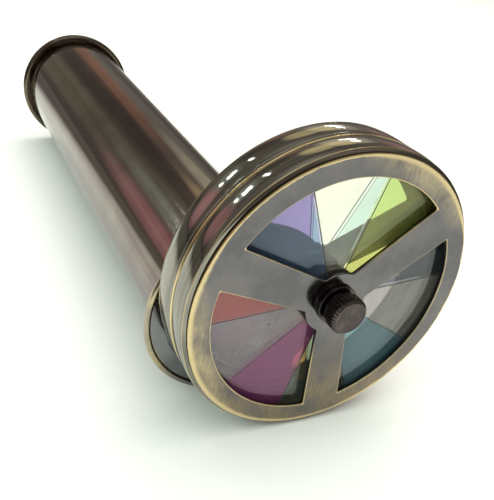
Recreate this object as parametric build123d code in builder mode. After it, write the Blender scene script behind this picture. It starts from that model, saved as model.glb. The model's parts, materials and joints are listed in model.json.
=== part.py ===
"""Double-wheel kaleidoscope: a brass barrel with a mirror prism, and two stained-glass wheels on one axle.

Each piece is drawn on the bench: the wheel axle lies along Y at x = z = 0, the front wheel's face is
at y = 0 and +Y runs back to the eyepiece. save() then lays the piece down as the object rests: on the
rear wheel, the flange disc and the eyepiece cap, with z = 0 on the table.
"""
from build123d import *

import os
from math import atan2, cos, degrees, radians, sin, sqrt, tan

# ---------------------------------------------------------------- driving dimensions (mm, degrees)
BAND_R = 35.35            # crown of a wheel's rim band
FACE_R = 34.2             # edge of a wheel's spoked face plate
WHEEL_DEPTH = 7.75        # one wheel, from its face to its open side
WHEEL_GAP = 0.2           # between the two wheels' open sides
WINDOW_R = 29.35          # outer edge of the three windows
WINDOW_CORNER = 0.7
PLATE_ROUND = 0.35        # rounding of the face plate's outer edge
HUB_PLATE_R = 7.5         # middle of the face plate, where the spokes meet
SPOKE_HALF = 3.75         # half a spoke's width, taken at the axle
SPOKE_FLARE = 2.25        # each edge of a spoke opens outwards by this angle
FRONT_SPOKE = 158.7       # direction of one spoke, seen from the front, counter-clockwise from +X
REAR_SPOKE = 147.0
SECTORS = 10              # pieces of glass in one wheel
FRONT_JOINT = 186.6       # direction of the first joint between two panes
REAR_JOINT = 175.2

AXLE_R = 2.0
RUNNING = 0.05            # radial clearance of what turns on the axle
AXLE_OFFSET = 17.5        # wheel axle to barrel axis
TUBE_R = 19.05            # barrel, 1.5 inch outside
TUBE_WALL = 0.8
TUBE_LENGTH = 164.6
FLANGE_R = 23.6           # rolled rim of the flange disc
CAP_R = 21.6              # rolled rim of the eyepiece cap
FLANGE_BEAD = 0.8         # section radius of the rolled rims
CAP_BEAD = 1.25
WEB = 1.2                 # sheet that the flange disc and the cap are spun from
COLLAR_R = 3.2            # shoulder of the axle stud, in front of the flange disc
NUT_R = 4.45
KNURLS = 32
EYE_HOLE_R = 5.0

# ---------------------------------------------------------------- places along the axle
PLATE = 0.9               # face plate thickness
LEDGE_END = 1.8           # back of the rim's inner ledge
GLASS_FRONT = 2.0
GLASS = 1.8
GLASS_BACK = GLASS_FRONT + GLASS
RING_END = GLASS_BACK + 1.25
HUB_WASHER = 1.0
HUB_END = 7.4
RIM_BEAD_FOOT = 6.8       # where the band meets the bead at the open side
REAR_FACE = 2 * WHEEL_DEPTH + WHEEL_GAP
FLANGE_FRONT = REAR_FACE + 0.5
FLANGE_MID = FLANGE_FRONT + FLANGE_BEAD
FLANGE_WEB = FLANGE_FRONT + 0.7
TUBE_START = FLANGE_WEB + WEB
TUBE_END = TUBE_START + TUBE_LENGTH
CAP_MID = TUBE_END + WEB - CAP_BEAD - 0.2
CAP_BACK = TUBE_END + WEB
SPACER = 0.68
WASHER_BACK = -0.1
WASHER_FRONT = -1.0
LOCK_FRONT = -1.7
NUT_BACK = -1.8
NUT_FRONT = -5.9

# ---------------------------------------------------------------- radii shared between pieces
TUBE_BORE = TUBE_R - TUBE_WALL
SPIGOT_R = TUBE_BORE - 0.03
SPIGOT_INNER = 16.9
RIM_BORE = 33.6
RIM_BEAD = 0.42           # section radius of the bead at a rim's open side
LEDGE_R = 31.2
SLEEVE_R = 4.2            # part of the hub bush that passes through the glass
HUB_SPIGOT_R = 2.8        # part of the hub bush that sits in the face plate
HUB_SHOULDER_R = 5.5
HUB_WASHER_R = 6.9
PANE_CLEARANCE = 0.15
PANE_GAP = 0.12           # between neighbouring panes
WASHER_R = 4.75
LOCK_R = 3.3
SPACER_R = 4.4
APERTURE_R = 13.2         # opening of the flange disc, in front of the mirrors
PRISM_INRADIUS = 8.0
MIRROR = 2.0
SLEEVE_OUTER = TUBE_BORE - 0.15
SLEEVE_INNER = SLEEVE_OUTER - 0.7
LENS_R = 9.0
LENS = 2.5                # thickness of the eye lens in the middle
LENS_CURVE_R = 31.8

# ---------------------------------------------------------------- how the object rests on the table
BAND_CROWN = 4.3          # depth of the band's crown behind its face
CONTACT_Y = REAR_FACE - BAND_CROWN
SLOPE = (FLANGE_R - CAP_R) / (CAP_MID - FLANGE_MID)
TILT = atan2(SLOPE, 1)
TUBE_Z = FLANGE_R - BAND_R + (FLANGE_MID - CONTACT_Y) * SLOPE
TUBE_X = -sqrt(AXLE_OFFSET**2 - TUBE_Z**2)
FRONT_END = NUT_FRONT * cos(TILT) - NUT_R * sin(TILT)
BACK_END = CAP_BACK * cos(TILT) + (TUBE_Z + CAP_R - CAP_BEAD) * sin(TILT)
REST = Location(
    (
        -(BAND_R + TUBE_X - FLANGE_R) / 2,
        -(FRONT_END + BACK_END) / 2,
        BAND_R * cos(TILT) + CONTACT_Y * sin(TILT),
    ),
    (-degrees(TILT), 0, 0),
)

AXLE = Axis((0, 0, 0), (0, 1, 0))
BARREL = Axis((TUBE_X, 0, TUBE_Z), (0, 1, 0))
BARREL_HALF = Plane(origin=(TUBE_X, 0, TUBE_Z), x_dir=(1, 0, 0), z_dir=(0, 0, 1))

os.makedirs("parts", exist_ok=True)


def across(y):
    """Plane across the axle at y, seen from the front: local x is +X, local y is +Z."""
    return Plane.XZ.offset(-y)


def across_barrel(y):
    """The same, centred on the barrel's axis."""
    return Plane(origin=(TUBE_X, y, TUBE_Z), x_dir=(1, 0, 0), z_dir=(0, -1, 0))


def save(piece, name):
    """Label a finished piece, lay it down as it rests and write its STEP file."""
    piece.part.label = name
    resting = REST * piece.part
    resting.label = name
    export_step(resting, f"parts/{name}.step")


def ring(y0, y1, outer, inner, plane=across):
    """Flat ring from y0 to y1, for washers, spacers and windows; inner = 0 makes a disc."""
    with BuildPart() as part:
        with BuildSketch(plane(y0)):
            Circle(outer)
            if inner:
                Circle(inner, mode=Mode.SUBTRACT)
        extrude(amount=y0 - y1)
    return part


# ================================================================ the two wheels
def make_wheel(name, face, side, spoke, joint, colours):
    """One wheel. side = 1 goes back from its face, side = -1 comes forward from it."""

    def at(depth):
        return face + side * depth

    # spoked face plate
    with BuildPart() as plate:
        with BuildSketch(across(at(0))):
            Circle(FACE_R)
        extrude(amount=-side * PLATE)
        front_edge = plate.edges().filter_by(GeomType.CIRCLE).group_by(Axis.Y)[0 if side > 0 else -1]
        fillet(front_edge, radius=PLATE_ROUND)
        with BuildSketch(across(at(0))) as windows:
            Circle(WINDOW_R)
            Circle(HUB_PLATE_R, mode=Mode.SUBTRACT)
            with PolarLocations(0, 3, start_angle=spoke):
                reach = WINDOW_R + 2
                spread = SPOKE_HALF + reach * tan(radians(SPOKE_FLARE))
                Polygon(
                    (0, -SPOKE_HALF), (reach, -spread), (reach, spread), (0, SPOKE_HALF),
                    align=None, mode=Mode.SUBTRACT,
                )
            fillet(windows.vertices(), radius=WINDOW_CORNER)
            Circle(HUB_SPIGOT_R)
        extrude(amount=-side * PLATE, mode=Mode.SUBTRACT)
    save(plate, f"{name}_spoke_plate")

    # rim: a hoop with a crowned band, a turned lip at the face and a bead at the open side
    lip_r, shoulder_r, bead_r = BAND_R - 0.95, BAND_R - 0.25, BAND_R - 0.5
    lip_end, shoulder = PLATE + 0.15, PLATE + 0.4
    bead_start, bead_middle = WHEEL_DEPTH - 2 * RIM_BEAD, WHEEL_DEPTH - RIM_BEAD
    with BuildPart() as rim:
        with BuildSketch(Plane.XY):
            with BuildLine():
                Polyline(
                    (LEDGE_R, at(PLATE)), (lip_r, at(PLATE)), (lip_r, at(lip_end)), (shoulder_r, at(shoulder))
                )
                ThreePointArc(
                    (shoulder_r, at(shoulder)), (BAND_R, at(BAND_CROWN)), (shoulder_r, at(RIM_BEAD_FOOT))
                )
                Line((shoulder_r, at(RIM_BEAD_FOOT)), (bead_r, at(bead_start)))
                ThreePointArc(
                    (bead_r, at(bead_start)), (bead_r + RIM_BEAD, at(bead_middle)), (bead_r, at(WHEEL_DEPTH))
                )
                Polyline(
                    (bead_r, at(WHEEL_DEPTH)), (RIM_BORE, at(WHEEL_DEPTH)), (RIM_BORE, at(LEDGE_END)),
                    (LEDGE_R, at(LEDGE_END)), (LEDGE_R, at(PLATE)),
                )
            make_face()
        revolve(axis=Axis.Y)
    save(rim, f"{name}_rim")

    # hub bush: spigot in the plate, flange behind it, sleeve through the glass
    with BuildPart() as bush:
        with BuildSketch(Plane.XY):
            with BuildLine():
                Polyline(
                    (AXLE_R + RUNNING, at(0)), (HUB_SPIGOT_R, at(0)), (HUB_SPIGOT_R, at(PLATE)),
                    (HUB_SHOULDER_R, at(PLATE)), (HUB_SHOULDER_R, at(GLASS_FRONT)),
                    (SLEEVE_R, at(GLASS_FRONT)), (SLEEVE_R, at(HUB_END)),
                    (AXLE_R + RUNNING, at(HUB_END)), (AXLE_R + RUNNING, at(0)),
                )
            make_face()
        revolve(axis=Axis.Y)
    save(bush, f"{name}_hub_bush")

    # what clamps the glass from behind
    hub_washer = ring(at(GLASS_BACK), at(GLASS_BACK + HUB_WASHER), HUB_WASHER_R, SLEEVE_R)
    save(hub_washer, f"{name}_hub_washer")
    glass_ring = ring(at(GLASS_BACK), at(RING_END), RIM_BORE, LEDGE_R)
    save(glass_ring, f"{name}_glass_ring")

    # stained glass, cut in equal sectors with a hair gap between neighbours
    step = 360 / SECTORS
    outer, inner = RIM_BORE - PANE_CLEARANCE, SLEEVE_R + PANE_CLEARANCE
    reach = outer * 1.2
    half = reach * tan(radians(step / 2)) - PANE_GAP / 2
    start = PANE_GAP / 2 / tan(radians(step / 2))
    for count, colour in enumerate(colours):
        middle = joint + step * (count + 0.5)
        with BuildPart() as pane:
            with BuildSketch(across(at(GLASS_FRONT))) as sector:
                Circle(outer)
                Circle(inner, mode=Mode.SUBTRACT)
                with Locations(Location((0, 0), middle)):
                    Polygon((start, 0), (reach, -half), (reach, half), align=None, mode=Mode.INTERSECT)
            extrude(amount=-side * GLASS)
        save(pane, f"{name}_glass_{colour}")


make_wheel(
    "front", 0, 1, FRONT_SPOKE, FRONT_JOINT,
    ["lavender", "magenta", "sage", "blue", "smoke", "slate", "lime", "clear", "sky", "rose"],
)
make_wheel(
    "rear", REAR_FACE, -1, REAR_SPOKE, REAR_JOINT,
    ["blue", "clear", "amber", "sage", "violet", "smoke", "mint", "cream", "pink", "sky"],
)

# ================================================================ axle and its hardware
with BuildPart() as axle:
    with BuildSketch(Plane.XY):
        with BuildLine():
            Polyline(
                (0, NUT_FRONT + 1.1), (AXLE_R - 0.3, NUT_FRONT + 1.1), (AXLE_R, NUT_FRONT + 1.4),
                (AXLE_R, REAR_FACE + 0.1), (COLLAR_R, REAR_FACE + 0.1), (COLLAR_R, FLANGE_WEB),
                (AXLE_R, FLANGE_WEB), (AXLE_R, TUBE_START), (0, TUBE_START), (0, NUT_FRONT + 1.1),
            )
        make_face()
    revolve(axis=Axis.Y)
save(axle, "axle_stud")

middle_y = REAR_FACE / 2
spacer = ring(middle_y - SPACER / 2, middle_y + SPACER / 2, SPACER_R, AXLE_R)
save(spacer, "spacer_washer")
front_washer = ring(WASHER_FRONT, WASHER_BACK, WASHER_R, AXLE_R)
save(front_washer, "front_washer")
lock_washer = ring(LOCK_FRONT, WASHER_FRONT, LOCK_R, AXLE_R)
save(lock_washer, "lock_washer")

with BuildPart() as thumb_nut:
    with BuildSketch(Plane.XY):
        with BuildLine():
            Polyline(
                (0, NUT_FRONT), (NUT_R - 0.6, NUT_FRONT), (NUT_R, NUT_FRONT + 0.5),
                (NUT_R, NUT_BACK - 0.8), (NUT_R - 0.5, NUT_BACK - 0.55), (NUT_R - 0.5, NUT_BACK),
                (AXLE_R + RUNNING, NUT_BACK), (AXLE_R + RUNNING, NUT_FRONT + 1.0), (0, NUT_FRONT + 1.0),
                (0, NUT_FRONT),
            )
        make_face()
    revolve(axis=Axis.Y)
    knurl_start, knurl_end, knurl_side = NUT_FRONT + 0.45, NUT_BACK - 0.75, 0.42
    with BuildSketch(across(knurl_start)):
        with PolarLocations(NUT_R + 0.08, KNURLS):
            Rectangle(knurl_side, knurl_side, rotation=45)
    extrude(amount=knurl_start - knurl_end, mode=Mode.SUBTRACT)
save(thumb_nut, "thumb_nut")


# ================================================================ flange disc and eyepiece cap
def spun_disc(web_front, bead_mid, rim_r, bead_r, hole_r, spigot_end, stud_hole_r=0):
    """Sheet disc with a rolled rim, a centre hole and a ring that fits inside the tube."""
    web_back = web_front + WEB
    low, high = min(web_back, spigot_end), max(web_front, spigot_end)
    with BuildPart() as part:
        with BuildSketch(BARREL_HALF):
            with Locations((rim_r - bead_r, bead_mid)):
                Circle(bead_r)
            with BuildLine():
                Polyline(
                    (hole_r, web_front), (rim_r - bead_r, web_front), (rim_r - bead_r, web_back),
                    (hole_r, web_back), (hole_r, web_front),
                )
            make_face()
        revolve(axis=BARREL)
        with BuildSketch(BARREL_HALF):
            with BuildLine():
                Polyline(
                    (SPIGOT_INNER, low), (SPIGOT_R, low), (SPIGOT_R, high), (SPIGOT_INNER, high),
                    (SPIGOT_INNER, low),
                )
            make_face()
        revolve(axis=BARREL)
        if stud_hole_r:
            with BuildSketch(across(web_front)):
                Circle(stud_hole_r)
            extrude(amount=-WEB, mode=Mode.SUBTRACT)
    return part


flange_disc = spun_disc(
    FLANGE_WEB, FLANGE_MID, FLANGE_R, FLANGE_BEAD, APERTURE_R, TUBE_START + 5, AXLE_R
)
save(flange_disc, "flange_disc")

eyepiece_cap = spun_disc(TUBE_END, CAP_MID, CAP_R, CAP_BEAD, EYE_HOLE_R, TUBE_END - 6)
save(eyepiece_cap, "eyepiece_cap")

# ================================================================ barrel and optics
barrel = ring(TUBE_START, TUBE_END, TUBE_R, TUBE_BORE, across_barrel)
save(barrel, "barrel_tube")

window_back = TUBE_START + 1.6
front_window = ring(TUBE_START, window_back, SPIGOT_INNER - 0.1, 0, across_barrel)
save(front_window, "front_window_glass")
window_ring = ring(window_back, TUBE_START + 5, SPIGOT_INNER - 0.05, SPIGOT_INNER - 1.6, across_barrel)
save(window_ring, "window_retaining_ring")

sleeve_start, sleeve_end = TUBE_START + 5.2, TUBE_END - 9.5
mirror_sleeve = ring(sleeve_start, sleeve_end, SLEEVE_OUTER, SLEEVE_INNER, across_barrel)
save(mirror_sleeve, "mirror_sleeve")

mirror_width = 2 * PRISM_INRADIUS * sqrt(3) - 0.3
mirror_length = sleeve_end - sleeve_start - 1
mirror_middle = (sleeve_start + sleeve_end) / 2
for count, name in enumerate(["lower", "right", "left"]):
    direction = -90 + 120 * count
    with BuildPart() as mirror_strip:
        with BuildSketch(across_barrel(mirror_middle)):
            out = PRISM_INRADIUS + MIRROR / 2
            spot = (out * cos(radians(direction)), out * sin(radians(direction)))
            with Locations(Location(spot, direction)):
                Rectangle(MIRROR, mirror_width)
        extrude(amount=mirror_length / 2, both=True)
    save(mirror_strip, f"{name}_mirror")

rear_ring = ring(sleeve_end + 0.2, TUBE_END - 6.2, SLEEVE_OUTER, 11, across_barrel)
save(rear_ring, "prism_end_ring")

# plano-convex eye lens in its seat, flat side to the cap
lens_back = TUBE_END - 0.1
with BuildPart() as eye_lens:
    with BuildSketch(BARREL_HALF):
        with Locations((0, lens_back - LENS + LENS_CURVE_R)):
            Circle(LENS_CURVE_R)
        with Locations((0, lens_back)):
            Rectangle(LENS_R, LENS, align=(Align.MIN, Align.MAX), mode=Mode.INTERSECT)
    revolve(axis=BARREL)
save(eye_lens, "eye_lens")
lens_seat = ring(TUBE_END - 2.6, TUBE_END - 0.02, SPIGOT_INNER - 0.05, LENS_R + 0.1, across_barrel)
save(lens_seat, "lens_seat")
lens_ring = ring(TUBE_END - 4.6, TUBE_END - 2.7, SPIGOT_INNER - 0.05, LENS_R - 1.2, across_barrel)
save(lens_ring, "lens_retaining_ring")
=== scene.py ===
"""Looks for the wheel kaleidoscope: turned brass under a bronze patina, and two wheels of stained glass.

Pieces are drawn in the bench frame, in millimetres: the wheel axle is the Y axis, the front wheel's face is
at y = 0, +Y runs to the eyepiece and Z is up. BENCH turns that into the frame's metres.
"""
import json
from math import atan2, cos, degrees, pi, radians, sin, tan

import bmesh
import bpy
from mathutils import Euler, Matrix, Vector


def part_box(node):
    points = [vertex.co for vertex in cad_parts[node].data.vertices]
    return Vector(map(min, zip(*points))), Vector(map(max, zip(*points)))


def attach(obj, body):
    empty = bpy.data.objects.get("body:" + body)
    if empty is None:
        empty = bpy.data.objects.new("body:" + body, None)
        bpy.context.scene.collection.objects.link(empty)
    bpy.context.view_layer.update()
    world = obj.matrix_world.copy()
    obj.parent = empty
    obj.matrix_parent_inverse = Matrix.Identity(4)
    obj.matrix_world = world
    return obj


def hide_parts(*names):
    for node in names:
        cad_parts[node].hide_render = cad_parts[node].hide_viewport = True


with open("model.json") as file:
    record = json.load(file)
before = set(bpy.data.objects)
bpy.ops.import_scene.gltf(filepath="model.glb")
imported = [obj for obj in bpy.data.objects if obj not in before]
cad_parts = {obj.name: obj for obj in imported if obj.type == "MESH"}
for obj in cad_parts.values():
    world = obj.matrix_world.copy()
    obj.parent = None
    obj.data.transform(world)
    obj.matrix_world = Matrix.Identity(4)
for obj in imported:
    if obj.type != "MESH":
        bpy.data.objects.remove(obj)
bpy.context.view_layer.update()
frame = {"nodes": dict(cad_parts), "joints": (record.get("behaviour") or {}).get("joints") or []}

# ---------------------------------------------------------------- sizes, in millimetres and degrees
MM = 0.001
STEPS = 288               # facets round a turned piece

# both wheels; a depth is measured from a wheel's own face
WHEEL_DEPTH = 7.75
WHEEL_GAP = 0.2
REAR_FACE = 2 * WHEEL_DEPTH + WHEEL_GAP
BAND_R = 35.33
CROWN = 0.24              # how much lower the band is at its edges than in its middle
RIM_BEAD = 0.42
RIM_BORE = 33.6
LEDGE_R = 31.2
LEDGE_END = 1.8
FACE_R = 34.2
PLATE = 0.9
PLATE_EDGE = 0.16         # rounding of the face plate's edges
PLATE_BORE_R = 2.8
WINDOW_R = 29.35
WINDOW_CORNER = 0.7
HUB_PLATE_R = 7.5
SPOKE_HALF = 3.75
SPOKE_FLARE = 2.25
SPOKES = {"front": 158.7, "rear": 147.0}
SLEEVE_R = 4.2
GLASS_FRONT = 2.0
GLASS = 1.8
PANE_GAP = 0.06           # half the gap between two panes
SECTORS = 10
FIRST_JOINT = {"front": 186.6, "rear": 175.2}

# knob and washer on the axle
AXLE_R = 2.0
NUT_R = 4.42
NUT_FRONT = -5.88
NUT_BACK = -1.8
KNURLS = 32
KNURL_STEPS = 8
KNURL_DEPTH = 0.32
WASHER_R = 4.75
WASHER_FRONT = -1.0
WASHER_BACK = -0.1

# barrel
TUBE_R = 19.05
TUBE_WALL = 0.8
TUBE_LENGTH = 164.6
SPIGOT_R = TUBE_R - TUBE_WALL - 0.03
SPIGOT_BORE = 16.9
WEB = 1.2                 # thickness of the flange disc and of the cap's sheet
APERTURE_R = 13.2
FLANGE_R = 23.6
FLANGE_BEAD = 0.8
FLANGE_LIP = 0.7          # how far the disc's rolled edge stands ahead of its web
FLANGE_SPIGOT = 5.0
CAP_R = 21.6
CAP_BEAD = 1.25
CAP_SET_BACK = 0.2        # how far the cap's rolled rim ends short of its sheet
CAP_SPIGOT = 6.0
EYE_HOLE_R = 5.0

# ---------------------------------------------------------------- the bench frame
spin = next(j for j in frame["joints"] if j["name"] == "front_wheel_spin")
bench_y = Vector(spin["axis"]).normalized()
bench_x = Vector((1, 0, 0))
bench_z = bench_x.cross(bench_y)
bench_origin = Vector(spin["pos_m"]) - bench_y * WHEEL_DEPTH / 2 * MM
BENCH = Matrix.Translation(bench_origin) @ Matrix((bench_x, bench_y, bench_z)).transposed().to_4x4()
BENCH = BENCH @ Matrix.Scale(MM, 4)

tube_low, tube_high = (Vector(c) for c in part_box("barrel_tube"))
tube_middle = BENCH.inverted() @ ((tube_low + tube_high) / 2)
BARREL = (tube_middle.x, tube_middle.z)
TUBE_START = tube_middle.y - TUBE_LENGTH / 2
TUBE_END = tube_middle.y + TUBE_LENGTH / 2
FLANGE_FRONT = TUBE_START - WEB
FLANGE_MID = FLANGE_FRONT - FLANGE_LIP + FLANGE_BEAD
CAP_MID = TUBE_END + WEB - CAP_BEAD - CAP_SET_BACK


# ================================================================ materials
BRASS = (0.78, 0.60, 0.30)
PLATE_RUB_AND_SHEEN = (0.70, 0.56, 0.31)
PLATE_GREY = ((0.126, 0.122, 0.129), (0.174, 0.164, 0.166))
PLATE_BROWN = (0.135, 0.10, 0.068)
# painted shade on the cut sides and back of a face plate: brown at the rim, nearly black in the windows
PLATE_SIDE = (0.105, 0.070, 0.036)
# painted shade on surfaces inside the object
INSIDE_SHADE_COLOUR = (0.020, 0.021, 0.023)
PLATE_CUT_SHADE_COLOUR = (0.020, 0.020, 0.021)
INSIDE = -1.0             # wear value of a surface inside the object, which is painted nearly black as painted shade

LEFT_RUB_AND_SHEEN_SIDE = 202           # side of a face plate rubbed to brass, partly wear and partly a painted reflection
TABLE_SIDE = 62           # side of a face plate that rubs on the table


class Nodes:
    """A node tree. Its methods add nodes and return output sockets."""

    def __init__(self, tree):
        self.tree = tree

    def put(self, socket, value):
        """Links an output to the socket, or sets the socket to a value."""
        if isinstance(value, bpy.types.NodeSocket):
            self.tree.links.new(value, socket)
        else:
            socket.default_value = value

    def node(self, kind, **settings):
        node = self.tree.nodes.new(kind)
        for key, value in settings.items():
            setattr(node, key, value)
        return node

    def place(self):
        """The shaded point on the object, in metres."""
        return self.node("ShaderNodeTexCoord").outputs["Object"]

    def attribute(self, name):
        return self.node("ShaderNodeAttribute", attribute_name=name).outputs["Fac"]

    def math(self, operation, a, b=0.0):
        node = self.node("ShaderNodeMath", operation=operation)
        self.put(node.inputs[0], a)
        self.put(node.inputs[1], b)
        return node.outputs[0]

    def add(self, a, b):
        return self.math("ADD", a, b)

    def minus(self, a, b):
        return self.math("SUBTRACT", a, b)

    def times(self, a, b):
        return self.math("MULTIPLY", a, b)

    def larger(self, a, b):
        return self.math("MAXIMUM", a, b)

    def vector_math(self, operation, a, b=(0.0, 0.0, 0.0)):
        """The vector that the operation gives, or the number where it gives one."""
        node = self.node("ShaderNodeVectorMath", operation=operation)
        self.put(node.inputs[0], a)
        self.put(node.inputs[1], b)
        return node.outputs["Value" if operation in ("DOT_PRODUCT", "LENGTH") else "Vector"]

    def scaled(self, vector, factors):
        return self.vector_math("MULTIPLY", vector, factors)

    def step(self, value, low, high, to_low=0.0, to_high=1.0):
        """Smooth step: to_low up to low, to_high from high on."""
        node = self.node("ShaderNodeMapRange", interpolation_type="SMOOTHSTEP")
        for index, entry in enumerate((value, low, high, to_low, to_high)):
            self.put(node.inputs[index], entry)
        return node.outputs[0]

    def noise(self, vector, scale, detail=3.0, roughness=0.55, distortion=0.0):
        node = self.node("ShaderNodeTexNoise")
        keys = ("Vector", "Scale", "Detail", "Roughness", "Distortion")
        for key, value in zip(keys, (vector, scale, detail, roughness, distortion)):
            self.put(node.inputs[key], value)
        return node.outputs["Fac"]

    def mix(self, factor, a, b):
        """Colour a where the factor is 0 and b where it is 1. Each is an output or (red, green, blue)."""
        node = self.node("ShaderNodeMix", data_type="RGBA")
        self.put(node.inputs[0], factor)
        first_colour = 6      # the sockets before it serve the other data types
        for index, colour in enumerate((a, b), first_colour):
            self.put(node.inputs[index], (*colour, 1.0) if isinstance(colour, tuple) else colour)
        return node.outputs[2]

    def bump(self, height, distance, strength):
        node = self.node("ShaderNodeBump")
        self.put(node.inputs["Height"], height)
        node.inputs["Strength"].default_value = strength
        node.inputs["Distance"].default_value = distance
        return node.outputs["Normal"]


class Shader(Nodes):
    """A node material with a principled surface."""

    def __init__(self, name, **sockets):
        self.material = bpy.data.materials.new(name)
        self.material.use_nodes = True
        super().__init__(self.material.node_tree)
        self.surface = self.tree.nodes["Principled BSDF"]
        self.output = self.tree.nodes["Material Output"].inputs["Surface"]
        self.finish(**sockets)

    def finish(self, **sockets):
        """Sets or links sockets of the surface, with _ for a space in their names. Returns the material."""
        for key, value in sockets.items():
            self.put(self.surface.inputs[key.replace("_", " ")], value)
        return self.material

    def shadow_swap(self, other):
        """Uses another shader for shadow rays only."""
        swap = self.node("ShaderNodeMixShader")
        self.put(swap.inputs[0], self.node("ShaderNodeLightPath").outputs["Is Shadow Ray"])
        self.put(swap.inputs[1], self.surface.outputs[0])
        self.put(swap.inputs[2], other.outputs[0])
        self.put(self.output, swap.outputs[0])
        return self.material


def from_axle(shader):
    """(x, y, z, radius) in bench millimetres of the shaded point."""
    shift = shader.vector_math("SUBTRACT", shader.place(), BENCH.translation)
    x, y, z = (shader.vector_math("DOT_PRODUCT", shift, axis / MM) for axis in (bench_x, bench_y, bench_z))
    radius = shader.math("SQRT", shader.add(shader.times(x, x), shader.times(z, z)))
    return x, y, z, radius


def patina_and_painted_light(name, dark, warm, streak, roughness):
    """Polished brass under a dark patina that runs in streaks, rubbed bright, partly as painted highlight,
    where the wear_and_painted_light attribute says.

    streak scales the object's place, so that the streaks run along its smallest factor; on the tube they are
    partly painted reflections.
    Where the attribute is INSIDE the metal is painted nearly black and rough, as painted shade.
    """
    s = Shader(name, Metallic=1.0)
    place = s.place()
    bands = s.noise(s.scaled(place, streak), 1.0, 3.0, 0.6, 0.6)
    clouds = s.noise(place, 60.0, 4.0, 0.6)
    specks = s.noise(place, 900.0, 2.0, 0.5)
    tone = s.step(s.add(s.times(bands, 0.75), s.times(clouds, 0.25)), 0.38, 0.62)
    colour = s.mix(tone, dark, warm)

    wear_and_painted_light = s.attribute("wear_and_painted_light")
    broken = s.add(wear_and_painted_light, s.times(s.minus(clouds, 0.5), 1.1))
    # brass where the attribute is positive: wear, and on the rims partly painted highlight
    brass_wear_and_sheen = s.times(s.step(broken, 0.4, 0.95), s.step(wear_and_painted_light, 0.02, 0.3))
    colour = s.mix(brass_wear_and_sheen, colour, BRASS)
    # painted shade: where the attribute is INSIDE the metal is painted nearly black
    inside = s.step(wear_and_painted_light, INSIDE + 0.1, -0.1, 1.0, 0.0)
    colour = s.mix(inside, colour, INSIDE_SHADE_COLOUR)

    rough = s.step(specks, 0.35, 0.75, roughness * 0.8, roughness * 1.35)
    rough = s.add(s.add(rough, s.times(brass_wear_and_sheen, 0.1)), s.times(inside, 0.4))
    grain = s.noise(s.scaled(place, tuple(4 * factor for factor in streak)), 1.0, 2.0)
    return s.finish(Base_Color=colour, Roughness=rough, Normal=s.bump(grain, 0.00002, 0.25))


def toward_side(shader, x, z, side):
    """How far the point lies to one side of the face plate: 0 at the axle and 1 at that edge."""
    turn = radians(side)
    return shader.add(shader.times(x, cos(turn) / FACE_R), shader.times(z, sin(turn) / FACE_R))


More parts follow.
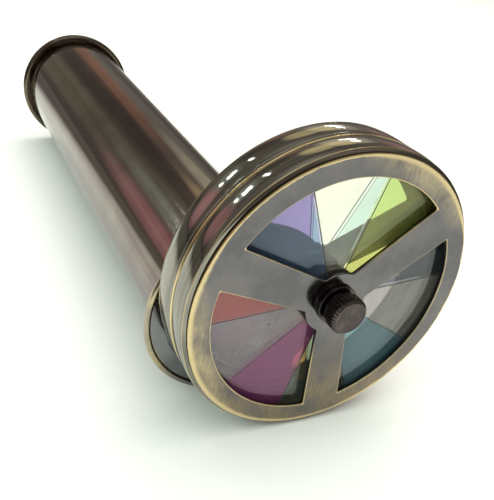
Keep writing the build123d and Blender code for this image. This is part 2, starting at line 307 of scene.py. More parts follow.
def plate_wear_sheen_and_shade(name, spoke, face):
    """Smooth grey patina on a spoked face plate, rubbed to brass along its edges and toward one side, partly
    as painted highlight and reflection.
    """
    s = Shader(name, Metallic=1.0)
    place = s.place()
    x, y, z, radius = from_axle(s)

    # fold the plate on to one spoke, then measure how far the point is from a window's edge;
    # 5 pi is seven folds and a half, which centres the spoke and keeps the angle above 0
    fold = 2 * pi / 3
    turned = s.minus(s.math("ARCTAN2", z, x), radians(spoke) - 5 * pi)
    folded = s.minus(s.math("MODULO", turned, fold), fold / 2)
    along = s.times(radius, s.math("COSINE", folded))
    side = s.times(radius, s.math("SINE", s.math("ABSOLUTE", folded)))
    half = s.add(s.times(along, tan(radians(SPOKE_FLARE))), SPOKE_HALF)
    window_depth = s.larger(s.minus(half, side), s.minus(radius, WINDOW_R))
    rim_depth = s.minus(FACE_R, radius)

    clouds = s.noise(place, 110.0, 5.0, 0.62)
    fine = s.noise(place, 700.0, 3.0, 0.6)
    brushed = s.noise(s.scaled(place, (1600.0, 1600.0, 260.0)), 1.0, 3.0, 0.6)
    ragged = s.add(s.times(clouds, 1.3), s.times(fine, 0.5))

    # where the table wears the rim to brass, and toward one side where the brass is partly a painted
    # reflection
    left_rub_and_sheen = toward_side(s, x, z, LEFT_RUB_AND_SHEEN_SIDE)
    table = toward_side(s, x, z, TABLE_SIDE)
    foot = s.math("DIVIDE", z, -FACE_R)
    table_rub = s.step(table, 0.76, 0.98)
    side_rub_and_sheen = s.larger(s.step(left_rub_and_sheen, 0.4, 1.05), table_rub)
    side_rub_and_sheen = s.larger(side_rub_and_sheen, s.step(foot, 0.35, 0.95, 0.0, 0.6))
    ring = s.step(radius, WINDOW_R - 2, WINDOW_R + 1.5)
    ring_rub_and_sheen = s.times(ring, s.larger(s.step(left_rub_and_sheen, 0.74, 0.96), table_rub))
    ring_rub_and_sheen = s.larger(ring_rub_and_sheen, s.step(foot, 0.45, 0.75, 0.0, 0.4))

    # brass along the windows' edges, but not round the hub, partly as painted highlight; along the rim; and
    # in scuffs toward one side, partly as painted reflection
    window_rub_and_highlight = s.step(s.add(window_depth, s.times(ragged, 0.12)), 0.24, 0.36, 1.0, 0.0)
    away_from_hub = s.step(radius, 9.0, 15.0)
    ragged_rub_and_sheen = s.step(s.add(side_rub_and_sheen, clouds), 0.35, 0.8, 0.45, 1.0)
    window_rub_and_highlight = s.times(window_rub_and_highlight, s.times(away_from_hub, ragged_rub_and_sheen))
    reach = s.add(s.times(side_rub_and_sheen, 1.5), 0.15)
    frayed = s.times(s.minus(ragged, 0.55), 0.8)
    rim_rub = s.step(s.minus(rim_depth, frayed), 0.0, reach, 1.0, 0.0)
    scuffs = s.add(s.times(brushed, 0.45), clouds)
    ring_scuffs_and_sheen = s.times(ring_rub_and_sheen, s.step(scuffs, 0.55, 0.90, 0.12, 0.55))
    rub_and_sheen = s.larger(s.larger(window_rub_and_highlight, rim_rub), ring_scuffs_and_sheen)

    colour = s.mix(s.step(clouds, 0.35, 0.68), *PLATE_GREY)
    brown = s.times(s.step(foot, 0.1, 0.9), s.step(clouds, 0.4, 0.6, 0.2, 0.8))
    colour = s.mix(brown, colour, PLATE_BROWN)
    colour = s.mix(rub_and_sheen, colour, PLATE_RUB_AND_SHEEN)

    # the plate's cut sides and back are painted dark as painted shade: brown at the rim, nearly black in the
    # windows
    inside = s.step(s.math("ABSOLUTE", s.minus(y, face)), 0.20, 0.38)
    cut = s.mix(s.step(rim_depth, 0.1, 0.5), PLATE_SIDE, PLATE_CUT_SHADE_COLOUR)
    colour = s.mix(inside, colour, cut)
    rough = s.add(s.step(clouds, 0.3, 0.7, 0.10, 0.17), s.times(rub_and_sheen, 0.14))
    rough = s.add(rough, s.times(inside, 0.25))
    return s.finish(Base_Color=colour, Roughness=rough, Normal=s.bump(fine, 0.00002, 0.2))


def stained_glass(name, colour, milk=0.0, ior=1.5, streaks=0.0):
    """Polished coloured glass, clouded by its milk, with pale streaks if asked. It tints the lamps' light."""
    s = Shader(name, Roughness=0.0, IOR=ior, Transmission_Weight=1.0 - milk)
    place = s.place()
    drift = s.noise(place, 45.0, 2.0)
    tint = s.mix(s.step(drift, 0.3, 0.7), tuple(0.93 * c for c in colour), colour)
    if streaks:
        lines = s.noise(s.scaled(place, (420.0, 420.0, 60.0)), 1.0, 2.0)
        tint = s.mix(s.times(s.step(lines, 0.55, 0.75), streaks), tint, (0.97, 0.98, 0.97))
    s.finish(Base_Color=tint, Specular_Tint=(*(0.45 + 0.55 * c for c in colour), 1.0))
    lit_through = s.node("ShaderNodeBsdfTransparent")
    lit_through.inputs["Color"].default_value = (*(c**0.5 for c in colour), 1.0)
    return s.shadow_swap(lit_through)


def clear_joint(name):
    """The hidden faces where two panes of glass meet."""
    s = Shader(name)
    s.put(s.output, s.node("ShaderNodeBsdfTransparent").outputs[0])
    return s.material


def plain(name, colour, metallic, roughness, grain_scale, spread=0.15):
    """One colour that drifts a little, for hidden and small pieces."""
    s = Shader(name, Metallic=metallic)
    grain = s.noise(s.place(), grain_scale, 4.0)
    darker = tuple(c * (1 - spread) for c in colour)
    lighter = tuple(min(1, c * (1 + spread)) for c in colour)
    shade = s.mix(grain, darker, lighter)
    rough = s.step(grain, 0.3, 0.7, roughness * 0.8, roughness * 1.2)
    return s.finish(Base_Color=shade, Roughness=rough, Normal=s.bump(grain, 0.00003, 0.3))


# tint of a whole pane, how milky it is and its refractive index, which is raised where a pane looks coated
GLASS_COLOURS = {
    "lavender": ((0.92, 0.85, 0.90), 0.05, 1.74), "magenta": ((0.66, 0.22, 0.50), 0.14, 1.80),
    "rose": ((0.90, 0.29, 0.27), 0.17, 1.80), "smoke": ((0.92, 0.90, 0.84), 0.07, 1.62),
    "blue": ((0.36, 0.60, 0.70), 0.12, 1.60), "sage": ((0.66, 0.74, 0.62), 0.04, 1.66),
    "slate": ((0.36, 0.41, 0.46), 0.05, 1.66), "lime": ((0.86, 0.90, 0.32), 0.07, 1.64),
    "clear": ((0.97, 0.97, 0.89), 0.03, 1.60), "sky": ((0.34, 0.49, 0.68), 0.08, 1.66),
    "amber": ((0.92, 0.58, 0.20), 0.08, 1.50), "violet": ((0.40, 0.37, 0.43), 0.06, 1.50),
    "mint": ((0.68, 0.90, 0.86), 0.04, 1.50), "cream": ((0.97, 0.97, 0.92), 0.03, 1.50),
    "pink": ((1.0, 0.48, 0.80), 0.05, 1.50),
}
STREAKED = {"smoke": 0.4, "blue": 0.25, "slate": 0.1}

# how the streaks of tone run: along the tube, where they are patina and painted reflections; round the rims;
# and not at all on the disc and the knob
TUBE_STREAKS = (150.0, 2.0, 150.0)
RING_STREAKS = (40.0, 900.0, 40.0)
DISC_STREAKS = (60.0, 60.0, 60.0)
KNOB_STREAKS = (300.0, 300.0, 300.0)

# tube: patina whose streaks are partly painted reflections
tube_metal = patina_and_painted_light("tube_patina_and_painted_reflections", (0.16, 0.116, 0.108), (0.27, 0.24, 0.205), TUBE_STREAKS, 0.08)
rim_metal = patina_and_painted_light("rim_patina_and_painted_light", (0.19, 0.18, 0.155), (0.30, 0.285, 0.245), RING_STREAKS, 0.07)
# the cap's patina is painted darker than the tube's, partly as painted shade
cap_metal = patina_and_painted_light("cap_patina_and_painted_shade", (0.085, 0.068, 0.052), (0.16, 0.13, 0.10), RING_STREAKS, 0.14)
disc_metal = patina_and_painted_light("disc_patina_and_painted_shade", (0.185, 0.192, 0.205), (0.25, 0.252, 0.258), DISC_STREAKS, 0.15)
knob_metal = patina_and_painted_light("knob_patina", (0.066, 0.056, 0.056), (0.115, 0.09, 0.085), KNOB_STREAKS, 0.22)
FACES = {"front": 0.0, "rear": REAR_FACE}
plates = {side: plate_wear_sheen_and_shade(f"{side}_plate_patina_sheen_and_shade", SPOKES[side], FACES[side]) for side in SPOKES}
glasses = {c: stained_glass(f"glass_{c}", *GLASS_COLOURS[c], STREAKED.get(c, 0.0)) for c in GLASS_COLOURS}
clear_glass = stained_glass("window_glass", (0.97, 0.98, 0.98))
dark_brass = plain("dark_brass", (0.045, 0.038, 0.03), 0.7, 0.42, 400.0)
bare_brass = plain("bare_brass", (0.72, 0.55, 0.28), 1.0, 0.28, 400.0)
spring_steel = plain("spring_steel", (0.06, 0.06, 0.065), 1.0, 0.35, 500.0)
mirror_face = plain("mirror_silver", (0.93, 0.94, 0.95), 1.0, 0.02, 30.0, 0.01)
card_black = plain("card_black", (0.03, 0.028, 0.026), 0.0, 0.75, 600.0)
joint_face = clear_joint("pane_joint")
seam_dark = plain("seam_dark", (0.035, 0.033, 0.032), 0.0, 0.6, 600.0)


# ================================================================ turned pieces
def soft(corners, arc_steps=5):
    """Closed outline of (radius, y, wear_and_painted_light) points. Each corner is (radius, y[, rounding[,
    wear_and_painted_light]]).
    """
    outline = []
    count = len(corners)
    for index, corner in enumerate(corners):
        here = Vector(corner[:2])
        rounding = corner[2] if len(corner) > 2 else 0.0
        wear_and_painted_light = corner[3] if len(corner) > 3 else 0.0
        if not rounding:
            outline.append((here.x, here.y, wear_and_painted_light))
            continue
        before = (Vector(corners[index - 1][:2]) - here).normalized()
        after = (Vector(corners[(index + 1) % count][:2]) - here).normalized()
        half = before.angle(after) / 2
        reach = rounding / tan(half)
        centre = here + (before + after).normalized() * rounding / sin(half)
        start, end = here + before * reach - centre, here + after * reach - centre
        sweep = atan2(start.x * end.y - start.y * end.x, start.dot(end))
        for step in range(arc_steps + 1):
            turn = sweep * step / arc_steps
            x = start.x * cos(turn) - start.y * sin(turn)
            y = start.x * sin(turn) + start.y * cos(turn)
            outline.append((centre.x + x, centre.y + y, wear_and_painted_light))
    return outline


def finish_mesh(bm, name, body, material, sharp=35):
    """Makes a piece of a mesh in bench millimetres. End faces and edges past sharp degrees stay crisp."""
    bmesh.ops.remove_doubles(bm, verts=bm.verts, dist=1e-4)
    bmesh.ops.recalc_face_normals(bm, faces=bm.faces)
    for face in bm.faces:
        face.smooth = abs(face.normal.y) < 0.9999
    for edge in bm.edges:
        edge.smooth = len(edge.link_faces) == 2 and edge.calc_face_angle(0) < radians(sharp)
    mesh = bpy.data.meshes.new(name)
    bm.transform(BENCH)
    bm.to_mesh(mesh)
    bm.free()
    mesh.materials.append(material)
    piece = bpy.data.objects.new(name, mesh)
    bpy.context.scene.collection.objects.link(piece)
    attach(piece, body)
    return piece


def ring_mesh(rings):
    """Closed mesh of rings of (place, wear_and_painted_light) points, each joined to the next and the last to
    the first.
    """
    bm = bmesh.new()
    wear_layer = bm.verts.layers.float.new("wear_and_painted_light")
    loops = []
    for ring in rings:
        loop = []
        for place, wear_and_painted_light in ring:
            vert = bm.verts.new(place)
            vert[wear_layer] = wear_and_painted_light
            loop.append(vert)
        loops.append(loop)
    for loop, following in zip(loops, loops[1:] + loops[:1]):
        for step in range(len(loop)):
            after = (step + 1) % len(loop)
            bm.faces.new((loop[step], loop[after], following[after], following[step]))
    return bm


def lathe(name, outline, body, material, centre=(0.0, 0.0)):
    """Turns a closed outline of (radius, y, wear_and_painted_light) points about the axle, or about a centre
    (x, z).
    """
    middle_x, middle_z = centre
    turns = [2 * pi * step / STEPS for step in range(STEPS)]
    rings = [
        [((middle_x + radius * cos(turn), y, middle_z + radius * sin(turn)), wear_and_painted_light) for turn in turns]
        for radius, y, wear_and_painted_light in outline
    ]
    return finish_mesh(ring_mesh(rings), name, body, material)


# ================================================================ wheels
def behind_face(side, depth):
    """Bench y of a depth behind a wheel's own face."""
    return depth if side == "front" else REAR_FACE - depth


def make_rim(side):
    """Rim hoop: a thin lip behind the face plate, one crowned band, and a bead at the open side."""
    crown_steps, roll_steps = 18, 12
    bead_r = BAND_R - 0.5
    # the front rim's band edge and bead are painted brass, partly wear and partly painted highlight
    rub_and_sheen = 0.95 if side == "front" else 0.15
    # the lip's crest is painted bright, partly wear and partly painted highlight; its negative values are
    # painted shade in the groove behind the plate
    lip = [
        (LEDGE_R, PLATE, INSIDE), (BAND_R - 1.1, PLATE, -0.2),
        (BAND_R - 0.95, PLATE + 0.04, 0.0), (BAND_R - 0.42, PLATE + 0.14, 0.2),
        (BAND_R - 0.3, PLATE + 0.2, 0.8), (BAND_R - 0.24, PLATE + 0.32, 0.8),
        (BAND_R - 0.28, PLATE + 0.48, 0.1), (BAND_R - 0.4, PLATE + 0.58, -0.3),
    ]
    band_start, band_end = PLATE + 0.68, WHEEL_DEPTH - 2 * RIM_BEAD - 0.12
    crown = []
    for step in range(crown_steps + 1):
        t = step / crown_steps
        drop = CROWN * abs(2 * t - 1) ** 2.4
        wear_and_painted_light = rub_and_sheen * 0.7 * max(0, 4 * t - 3)
        crown.append((BAND_R - 0.02 - drop, band_start + (band_end - band_start) * t, wear_and_painted_light))
    # painted shade in the valley before the bead
    valley = [(bead_r - 0.05, WHEEL_DEPTH - 2 * RIM_BEAD - 0.04, -0.2)]
    roll = []
    for step in range(roll_steps + 1):
        turn = pi * step / roll_steps
        depth = WHEEL_DEPTH - RIM_BEAD - RIM_BEAD * cos(turn)
        roll.append((bead_r + RIM_BEAD * sin(turn), depth, rub_and_sheen * sin(turn)))
    # the hoop's hidden inner faces are painted nearly black as painted shade
    inside = [(RIM_BORE, WHEEL_DEPTH, INSIDE), (RIM_BORE, LEDGE_END, INSIDE), (LEDGE_R, LEDGE_END, INSIDE)]
    section = lip + crown + valley + roll + inside
    outline = [(radius, behind_face(side, depth), wear_and_painted_light) for radius, depth, wear_and_painted_light in section]
    piece = lathe(f"{side}_rim_turned", outline, f"{side}_wheel", rim_metal)
    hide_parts(f"{side}_rim")


def rounded_loop(points, corner, arc_steps=6):
    """The loop with its sharp corners cut back by that distance and rounded with a short curve."""
    result = []
    count = len(points)
    for index, here in enumerate(points):
        before, after = points[index - 1] - here, points[(index + 1) % count] - here
        if before.angle(after) > radians(160):
            result.append(here)
            continue
        a = here + before.normalized() * min(corner, before.length * 0.9)
        b = here + after.normalized() * min(corner, after.length * 0.9)
        for step in range(arc_steps + 1):
            t = step / arc_steps
            result.append(a * (1 - t) ** 2 + here * 2 * t * (1 - t) + b * t**2)
    return result


def window_outline(spoke, arc_steps=40):
    """Loop of (x, z) points of the window that lies counter-clockwise of one spoke."""
    flare = radians(SPOKE_FLARE)

    def edge_point(direction, sign, radius):
        # where the spoke's edge line meets the circle of that radius
        normal = direction + sign * (pi / 2)
        line = direction + sign * flare
        base = Vector((cos(normal), sin(normal))) * SPOKE_HALF
        run = Vector((cos(line), sin(line)))
        b = base.dot(run)
        return base + run * (-b + (b * b - SPOKE_HALF**2 + radius**2) ** 0.5)

    def bow(start, end, radius):
        a = atan2(start.y, start.x)
        sweep = (atan2(end.y, end.x) - a + pi) % (2 * pi) - pi
        turns = [a + sweep * t / arc_steps for t in range(arc_steps + 1)]
        return [Vector((cos(turn), sin(turn))) * radius for turn in turns]

    first, second = radians(spoke), radians(spoke + 120)
    inner_a, outer_a = edge_point(first, 1, HUB_PLATE_R), edge_point(first, 1, WINDOW_R)
    outer_b, inner_b = edge_point(second, -1, WINDOW_R), edge_point(second, -1, HUB_PLATE_R)
    rim_side = bow(outer_a, outer_b, WINDOW_R)
    hub_side = bow(inner_b, inner_a, HUB_PLATE_R)
    return rounded_loop([inner_a] + rim_side + hub_side[:-1], WINDOW_CORNER)


def make_plate(side):
    """Face plate with rounded edges, cut out as a filled curve."""
    curve = bpy.data.curves.new(f"{side}_plate_outline", "CURVE")
    curve.dimensions = "2D"
    curve.fill_mode = "BOTH"
    curve.extrude = PLATE / 2 - PLATE_EDGE
    curve.bevel_depth = PLATE_EDGE
    curve.bevel_resolution = 3
    curve.offset = -PLATE_EDGE
    circle = [Vector((cos(2 * pi * s / STEPS), sin(2 * pi * s / STEPS))) for s in range(STEPS)]
    loops = [[point * FACE_R for point in circle], [point * PLATE_BORE_R for point in circle[::6]]]
    loops += [window_outline(SPOKES[side] + 120 * k) for k in range(3)]
    for loop in loops:
        spline = curve.splines.new("POLY")
        spline.points.add(len(loop) - 1)
        for point, place in zip(spline.points, loop):
            point.co = (place.x, place.y, 0, 1)
        spline.use_cyclic_u = True

    outline = bpy.data.objects.new(curve.name, curve)
    bpy.context.scene.collection.objects.link(outline)
    mesh = bpy.data.meshes.new_from_object(outline.evaluated_get(bpy.context.evaluated_depsgraph_get()))
    bpy.data.objects.remove(outline)
    bm = bmesh.new()
    bm.from_mesh(mesh)
    bpy.data.meshes.remove(mesh)
    upright = Matrix.Rotation(radians(90), 4, "X")
    bm.transform(Matrix.Translation((0, behind_face(side, PLATE / 2), 0)) @ upright)
    piece = finish_mesh(bm, f"{side}_plate_cut", f"{side}_wheel", plates[side], 40)
    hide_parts(f"{side}_spoke_plate")


def make_pane(side, name, first, arc_steps=24):
    """Sector of glass from the joint at that angle on. Its hidden side faces are clear, as glued glass is."""
    inner, outer = SLEEVE_R + 0.15, RIM_BORE - 0.15
    bm = bmesh.new()
    sheets = []
    for depth in (GLASS_FRONT, GLASS_FRONT + GLASS):
        y = behind_face(side, depth)
        rows = []
        for radius in (inner, outer):
            shy = degrees(PANE_GAP / radius)
            span = 360 / SECTORS - 2 * shy
            turns = [radians(first + shy + span * step / arc_steps) for step in range(arc_steps + 1)]
            rows.append([bm.verts.new((radius * cos(t), y, radius * sin(t))) for t in turns])
        sheets.append(rows)
    for rows in sheets:
        bm.faces.new(rows[0] + rows[1][::-1])
    (near_in, near_out), (far_in, far_out) = sheets
    near, far = near_in + near_out[::-1], far_in + far_out[::-1]
    for k in range(len(near)):
        after = (k + 1) % len(near)
        side_face = bm.faces.new((near[k], near[after], far[after], far[k]))
        side_face.material_index = 1
    piece = finish_mesh(bm, f"{side}_pane_{name}", f"{side}_wheel", glasses[name])
    piece.data.materials.append(joint_face)
    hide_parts(f"{side}_glass_{name}")


def make_seams(side):
    """Thin dark lines of glue where the panes meet, standing just proud of the glass."""
    inner, outer = SLEEVE_R + 0.25, RIM_BORE - 0.3
    half, proud = 0.12, 0.03
    corners = ((inner, -1), (outer, -1), (outer, 1), (inner, 1))
    bm = bmesh.new()
    for count in range(SECTORS):
        turn = radians(FIRST_JOINT[side] + 360 / SECTORS * count)
        out, over = Vector((cos(turn), sin(turn))), Vector((-sin(turn), cos(turn)))
        foot, top = [], []
        for loop, depth, width in ((foot, GLASS_FRONT + proud, half), (top, GLASS_FRONT - proud, half * 0.7)):
            for radius, sign in corners:
                place = out * radius + over * width * sign
                loop.append(bm.verts.new((place.x, behind_face(side, depth), place.y)))
        bm.faces.new(foot)
        bm.faces.new(top[::-1])
        for k in range(4):
            after = (k + 1) % 4
            bm.faces.new((foot[k], top[k], top[after], foot[after]))
    finish_mesh(bm, f"{side}_glass_seams", f"{side}_wheel", seam_dark)


# counter-clockwise from the first joint, as the front wheel's face is seen
PANES = {
    "front": ["lavender", "magenta", "sage", "blue", "smoke", "slate", "lime", "clear", "sky", "rose"],
    "rear": ["blue", "clear", "amber", "sage", "violet", "smoke", "mint", "cream", "pink", "sky"],
}

for wheel in ("front", "rear"):
    make_rim(wheel)
    make_plate(wheel)
    make_seams(wheel)
    for count, pane in enumerate(PANES[wheel]):
        make_pane(wheel, pane, FIRST_JOINT[wheel] + 360 / SECTORS * count)


# ================================================================ axle hardware
def make_knob():
    """Knurled thumb nut: straight knurls with rounded crests, a turned face and a neck."""
    front, back, bore = NUT_FRONT, NUT_BACK, AXLE_R + 0.05
    outline = soft([
        (0.02, front + 0.14), (NUT_R - 1.3, front + 0.1, 0.2), (NUT_R - 0.7, front, 0.15, 0.45),
        (NUT_R - 0.05, front + 0.6, 0.1, 0.5), (NUT_R, front + 0.75), (NUT_R, front + 1.6),
        (NUT_R, back - 1.0), (NUT_R, back - 0.85, 0.05, 0.3), (NUT_R - 0.5, back - 0.5, 0.1),
        (NUT_R - 0.5, back), (bore, back), (bore, front + 1.0), (0.02, front + 1.0),
    ])
    steps = KNURLS * KNURL_STEPS
    rings = []
    for radius, y, wear_and_painted_light in outline:
        knurled = radius > NUT_R - 0.3 and front + 0.35 < y < back - 0.7
        ring = []
        for step in range(steps):
            cut = (0.5 + 0.5 * cos(2 * pi * step / KNURL_STEPS)) ** 1.5 if knurled else 0.0
            reach = radius - KNURL_DEPTH * cut
            turn = 2 * pi * step / steps
            place = (reach * cos(turn), y, reach * sin(turn))
            ring.append((place, 0.4 * (1 - cut) if knurled else wear_and_painted_light))
        rings.append(ring)
    piece = finish_mesh(ring_mesh(rings), "thumb_nut_knurled", "thumb_nut", knob_metal, 40)
    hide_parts("thumb_nut")


def make_washer():
    """Washer between the knob and the front wheel, rubbed a little on its outer edges."""
    outline = soft([
        (AXLE_R, WASHER_FRONT, 0.15), (WASHER_R, WASHER_FRONT, 0.15, 0.25),
        (WASHER_R, WASHER_BACK, 0.15, 0.25), (AXLE_R, WASHER_BACK, 0.15),
    ])
    piece = lathe("front_washer_turned", outline, "root", knob_metal)
    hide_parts("front_washer")


make_knob()
make_washer()


# ================================================================ barrel
def make_tube():
    """Plain drawn tube."""
    bore = TUBE_R - TUBE_WALL
    outline = soft([(bore, TUBE_START), (TUBE_R, TUBE_START), (TUBE_R, TUBE_END), (bore, TUBE_END)])
    piece = lathe("barrel_tube_drawn", outline, "root", tube_metal, BARREL)
    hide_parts("barrel_tube")


def bead_points(rim_r, bead_r, middle, start, sweep, wear_and_painted_light, least=0.0, steps=20):
    """Rolled rim, from the angle start (0 = outwards, 90 = towards the eyepiece) through sweep degrees.

    Its wear fades from the outermost line to that least share of it.
    """
    points = []
    for step in range(steps + 1):
        turn = radians(start + sweep * step / steps)
        radius = rim_r - bead_r + bead_r * cos(turn)
        points.append((radius, middle + bead_r * sin(turn), wear_and_painted_light * max(least, cos(turn))))
    return points


def make_flange():
    """Disc with a small rolled rim. Its middle, behind the glass, is painted nearly black as painted shade.
    """
    front, back = FLANGE_FRONT, TUBE_START
    foot_r = FLANGE_R - 2 * FLANGE_BEAD
    spigot_end = back + FLANGE_SPIGOT
    outline = [
        (APERTURE_R, back, INSIDE), (APERTURE_R, front + 0.12, INSIDE), (APERTURE_R + 0.12, front, INSIDE),
        (FLANGE_R - 5.5, front, INSIDE), (FLANGE_R - 4.8, front, 0.0), (foot_r - 0.35, front, 0.0),
        (foot_r - 0.02, front, 0.6),
        *bead_points(FLANGE_R - 0.01, FLANGE_BEAD, FLANGE_MID, -172, 312, 0.56, 1.0),
        (foot_r - 0.5, back, 0.0), (SPIGOT_R, back, 0.0), (SPIGOT_R, spigot_end, 0.0),
        (SPIGOT_BORE, spigot_end, INSIDE), (SPIGOT_BORE, back, INSIDE),
    ]
    piece = lathe("flange_disc_spun", outline, "root", disc_metal, BARREL)
    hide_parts("flange_disc")


def make_cap():
    """End cap: a rolled rim that swells out of a short skirt, and a sheet with the eye hole."""
    front, back = TUBE_END, TUBE_END + WEB
    spigot_end = front - CAP_SPIGOT
    outline = [
        (EYE_HOLE_R, front, INSIDE), (SPIGOT_BORE, front, INSIDE), (SPIGOT_BORE, spigot_end, INSIDE),
        (SPIGOT_R, spigot_end, 0.0), (SPIGOT_R, front, 0.0), (TUBE_R + 0.02, front, 0.0),
        (TUBE_R + 0.03, CAP_MID - 0.98, 0.0), (TUBE_R + 0.25, CAP_MID - 1.12, 0.1),
        *bead_points(CAP_R - 0.01, CAP_BEAD, CAP_MID, -92, 182, 0.45),
        (CAP_R - CAP_BEAD - 0.1, back, 0.2), (EYE_HOLE_R + 0.3, back, 0.2),
        (EYE_HOLE_R + 0.08, back - 0.08, 0.9), (EYE_HOLE_R, back - 0.3, 0.5),
    ]
    piece = lathe("eyepiece_cap_spun", outline, "root", cap_metal, BARREL)
    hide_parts("eyepiece_cap")


make_tube()
make_flange()
make_cap()

# ================================================================ CAD nodes that keep their mesh
KEPT = {
    bare_brass: ["lens_retaining_ring", "lens_seat", "prism_end_ring", "window_retaining_ring"],
    dark_brass: [
        "axle_stud", "spacer_washer", "front_hub_bush", "rear_hub_bush",
        "front_hub_washer", "rear_hub_washer", "front_glass_ring", "rear_glass_ring",
    ],
    spring_steel: ["lock_washer"],
    clear_glass: ["front_window_glass", "eye_lens"],
    mirror_face: ["left_mirror", "right_mirror", "lower_mirror"],
    card_black: ["mirror_sleeve"],
}
for material, names in KEPT.items():
    for name in names:
        slots = frame["nodes"][name].data.materials
        slots.clear()
        slots.append(material)


# ================================================================ floor, light and camera, in metres
FLOOR_R = 6.0
FLOOR_DROP = 0.0001       # keeps the floor clear of what stands on it
CLOTH = ((0.80, 0.80, 0.78), (0.84, 0.83, 0.81))
BEYOND_CLOTH = (0.13, 0.115, 0.105)
CLOTH_CENTRE = (0.085, -0.10, 0.0)
CLOTH_REACH = (0.245, 0.36)


def floor_cloth():
    """Pale cloth. In the metal's reflections it ends a little way from the object, as a tabletop does."""
    s = Shader("floor_cloth", Roughness=0.9)
    place = s.place()
    pale = s.mix(s.noise(place, 3.0), *CLOTH)
    centred = s.vector_math("SUBTRACT", place, CLOTH_CENTRE)
    reach = s.vector_math("LENGTH", s.scaled(centred, (1 / CLOTH_REACH[0], 1 / CLOTH_REACH[1], 1.0)))
    far = s.step(reach, 0.85, 1.25)
    seen_in_metal = s.times(far, s.node("ShaderNodeLightPath").outputs["Is Glossy Ray"])
    colour = s.mix(seen_in_metal, pale, BEYOND_CLOTH)
    weave = s.noise(place, 900.0, 2.0)
    return s.finish(Base_Color=colour, Normal=s.bump(weave, 0.0002, 0.3))


def make_floor():
    """Round floor under the whole object."""
    bm = bmesh.new()
    bmesh.ops.create_circle(bm, cap_ends=True, radius=FLOOR_R, segments=64)
    mesh = bpy.data.meshes.new("floor")
    bm.to_mesh(mesh)
    bm.free()
    mesh.materials.append(floor_cloth())
    floor = bpy.data.objects.new("floor", mesh)
    floor.location.z = -FLOOR_DROP
    bpy.context.scene.collection.objects.link(floor)


def toward(azimuth, elevation):
    """Direction seen from the wheels: azimuth 0 = +Y, 90 = +X."""
    a, e = radians(azimuth), radians(elevation)
    return Vector((sin(a) * cos(e), cos(a) * cos(e), sin(e)))


def area_light(name, azimuth, elevation, distance, size, power, colour, roll, in_metal):
    """Rectangle that faces the wheels. in_metal says whether polished metal mirrors it."""
    light = bpy.data.lights.new(name, "AREA")
    light.shape = "RECTANGLE"
    light.size, light.size_y = size
    light.energy = power
    light.color = colour
    lamp = bpy.data.objects.new(name, light)
    direction = toward(azimuth, elevation)
    lamp.location = BENCH.translation + direction * distance
    facing = direction.to_track_quat("Z", "Y") @ Euler((0, 0, radians(roll))).to_quaternion()
    lamp.rotation_euler = facing.to_euler()
    lamp.visible_glossy = in_metal
    bpy.context.scene.collection.objects.link(lamp)


WHITE = (1.0, 1.0, 1.0)
DAYLIGHT = (0.90, 1.0, 0.98)
LAMPS = [
    # name, azimuth, elevation, distance, (width, height), power, colour, roll, in metal
    ("key_soft", 50, 58, 1.8, (1.5, 1.5), 12, (1.0, 0.95, 0.88), 0, False),
    ("fill_left", -100, 38, 1.6, (1.2, 0.8), 13, (0.78, 1.0, 0.88), 0, False),
    ("ceiling_soft", 0, 89, 2.0, (3.0, 3.0), 44, (0.94, 1.0, 0.95), 0, False),
    ("window_left", -26.2, 27.6, 2.0, (0.20, 0.09), 1.1, DAYLIGHT, -40, True),
    ("lamp_left", -30.8, 22.6, 2.0, (0.07, 0.07), 0.35, DAYLIGHT, 0, True),
    ("lamp_tick", -15.2, 34, 2.0, (0.05, 0.14), 0.35, WHITE, 0, True),
    ("lamp_right", 32, 22.5, 2.0, (0.20, 0.05), 0.5, WHITE, 0, True),
    ("lamp_low_right", 35, 26, 2.0, (0.12, 0.05), 0.3, WHITE, 0, True),
]

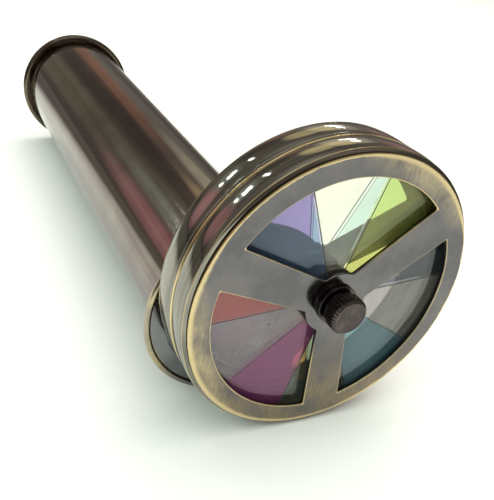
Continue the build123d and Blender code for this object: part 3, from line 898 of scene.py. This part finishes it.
# what the polished metal mirrors: a dim room with a pale ceiling, and soft patches of light and colour
LOW_WALL = (0.15, 0.13, 0.12)
HIGH_WALL = (0.26, 0.24, 0.21)
CEILING = (0.70, 0.70, 0.66)
PATCHES = [
    # azimuth, elevation, width where full, width where it ends (degrees), radiance
    (-38, 13, 5, 16, (0.80, 0.44, 0.46)), (-15, 12, 3, 11, (0.28, 0.27, 0.20)),
    (-26, 25, 4, 11, (0.46, 0.50, 0.44)), (12, 18, 2, 9, (0.42, 0.25, 0.18)),
    (31, 25, 3, 13, (0.85, 0.80, 0.62)), (28, 31, 3, 8, (1.50, 1.30, 0.80)),
    (16, 36, 3, 9, (1.20, 1.05, 0.62)), (52, 14, 3, 12, (0.50, 0.30, 0.28)),
    (68, 8, 4, 14, (0.30, 0.27, 0.20)), (-1, 24, 4, 12, (0.14, 0.12, 0.10)),
    (100, 30, 6, 20, (0.75, 0.72, 0.66)), (145, 14, 5, 16, (0.42, 0.36, 0.32)),
    (180, 42, 8, 24, (0.70, 0.70, 0.68)), (-150, 16, 6, 20, (0.50, 0.42, 0.36)),
    (-95, 32, 8, 22, (0.58, 0.62, 0.64)), (-65, 10, 4, 14, (0.36, 0.30, 0.24)),
]


def make_room():
    """World whose light depends on the direction alone."""
    world = bpy.data.worlds.new("room")
    world.use_nodes = True
    room = Nodes(world.node_tree)
    view = room.node("ShaderNodeTexCoord").outputs["Generated"]
    split = room.node("ShaderNodeSeparateXYZ")
    room.put(split.inputs[0], view)
    height = split.outputs["Z"]
    wall = room.mix(room.step(height, 0.06, 0.2), LOW_WALL, HIGH_WALL)
    radiance = room.mix(room.step(height, 0.72, 0.95), wall, CEILING)
    for azimuth, elevation, full, end, colour in PATCHES:
        facing = room.vector_math("DOT_PRODUCT", view, toward(azimuth, elevation))
        patch = room.step(facing, cos(radians(end)), cos(radians(full)))
        radiance = room.mix(patch, radiance, colour)
    room.put(room.tree.nodes["Background"].inputs["Color"], radiance)
    bpy.context.scene.world = world


CAMERA_AT = (-0.0785, -0.1776, 0.1061)
CAMERA_TURN = (56.82, -11.12, -25.73)
CAMERA_LENS = 45.5        # millimetres, for a sensor 36 wide
CAMERA_SHIFT = (-0.006, 0.099)


def make_camera():
    """Camera in front of the wheels, above them and to their left."""
    data = bpy.data.cameras.new("camera")
    data.lens = CAMERA_LENS
    data.sensor_width = 36
    data.shift_x, data.shift_y = CAMERA_SHIFT
    data.clip_start = 0.005
    camera = bpy.data.objects.new("camera", data)
    camera.location = CAMERA_AT
    camera.rotation_euler = [radians(turn) for turn in CAMERA_TURN]
    bpy.context.scene.collection.objects.link(camera)
    bpy.context.scene.camera = camera


make_floor()
for lamp in LAMPS:
    area_light(*lamp)
make_room()
bpy.context.scene.view_settings.view_transform = "Standard"
make_camera()
